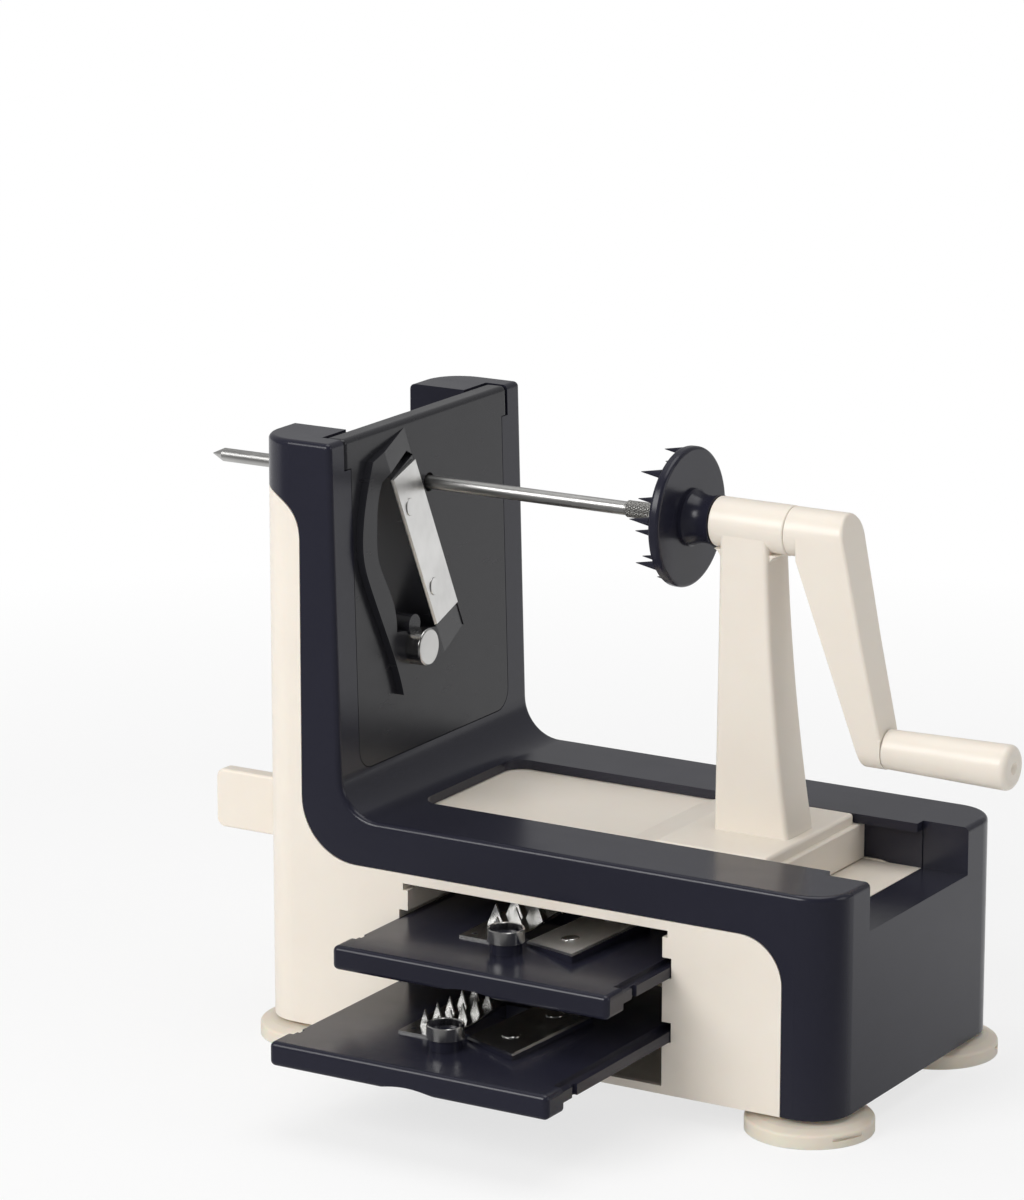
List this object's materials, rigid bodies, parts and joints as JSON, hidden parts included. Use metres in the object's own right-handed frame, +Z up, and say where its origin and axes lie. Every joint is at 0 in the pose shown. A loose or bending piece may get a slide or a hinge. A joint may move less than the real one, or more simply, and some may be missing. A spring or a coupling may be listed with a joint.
{
  "type": "hand-cranked spiralizer",
  "caption": "Table-top hand-cranked spiralizer: tall blade column, low body on suction feet, sliding carriage with crank, prong disc and skewer, and pull-out storage for blade inserts.",
  "frame": {"origin": "on the table, under the middle of the whole object's outline", "axes": "+X along the crank and skewer axis towards the crank, +Y away from the side that the stored inserts pull out of, +Z up"},
  "size_m": [0.3952, 0.2642, 0.268],
  "materials": {
    "turned_steel": "turned or drawn steel",
    "pale_plastic": "moulded, satin gloss",
    "blade_steel": "ground sheet steel",
    "dark_plastic": "moulded, glossy",
    "foot_rubber": "soft, smooth",
    "bearing_bronze": "machined"
  },
  "bodies": {
    "base": {"frame_shell": "dark_plastic", "base_shell": "pale_plastic", "bottom_cover": "pale_plastic", "base_screws": "turned_steel", "frame_screws": "turned_steel", "foot_near_left": "foot_rubber", "foot_near_right": "foot_rubber", "foot_far_left": "foot_rubber", "foot_far_right": "foot_rubber", "ribbon_insert_plate": "dark_plastic", "ribbon_blade": "blade_steel", "ribbon_blade_rivets": "turned_steel", "ribbon_stud": "turned_steel"},
    "carriage": {"carriage_tray": "pale_plastic", "pull_handle": "pale_plastic", "handle_screws": "turned_steel", "carriage_tower": "pale_plastic", "tower_screws": "turned_steel", "front_bush": "bearing_bronze", "rear_bush": "bearing_bronze"},
    "spindle": {"drive_shaft": "turned_steel", "prong_disc": "dark_plastic", "crank_arm": "pale_plastic", "knob_pin": "turned_steel"},
    "knob": {"crank_knob": "pale_plastic", "knob_cap": "pale_plastic"},
    "skewer": {"skewer": "turned_steel"},
    "upper_insert": {"coarse_insert_plate": "dark_plastic", "coarse_blade": "blade_steel", "coarse_blade_rivets": "turned_steel", "coarse_coring_ring": "turned_steel", "coarse_comb": "blade_steel"},
    "lower_insert": {"fine_insert_plate": "dark_plastic", "fine_blade": "blade_steel", "fine_blade_rivets": "turned_steel", "fine_coring_ring": "turned_steel", "fine_comb": "blade_steel"}
  },
  "joints": [
    {"name": "carriage_slide", "type": "slide", "parent": "base", "child": "carriage", "axis": [1, 0, 0], "range_m": [-0.095, 0]},
    {"name": "crank_turn", "type": "hinge", "parent": "carriage", "child": "spindle", "pos_m": [0.0756, 0.0469, 0.2372], "axis": [1, 0, 0], "continuous": true},
    {"name": "knob_turn", "type": "hinge", "parent": "spindle", "child": "knob", "pos_m": [0.1656, 0.0469, 0.1495], "axis": [1, 0, 0], "continuous": true},
    {"name": "skewer_pull", "type": "slide", "parent": "spindle", "child": "skewer", "axis": [-1, 0, 0], "range_m": [0, 0.09]},
    {"name": "upper_insert_slide", "type": "slide", "parent": "base", "child": "upper_insert", "axis": [0, -1, 0], "range_m": [-0.0395, 0.09]},
    {"name": "lower_insert_slide", "type": "slide", "parent": "base", "child": "lower_insert", "axis": [0, -1, 0], "range_m": [-0.0875, 0.042]}
  ]
}
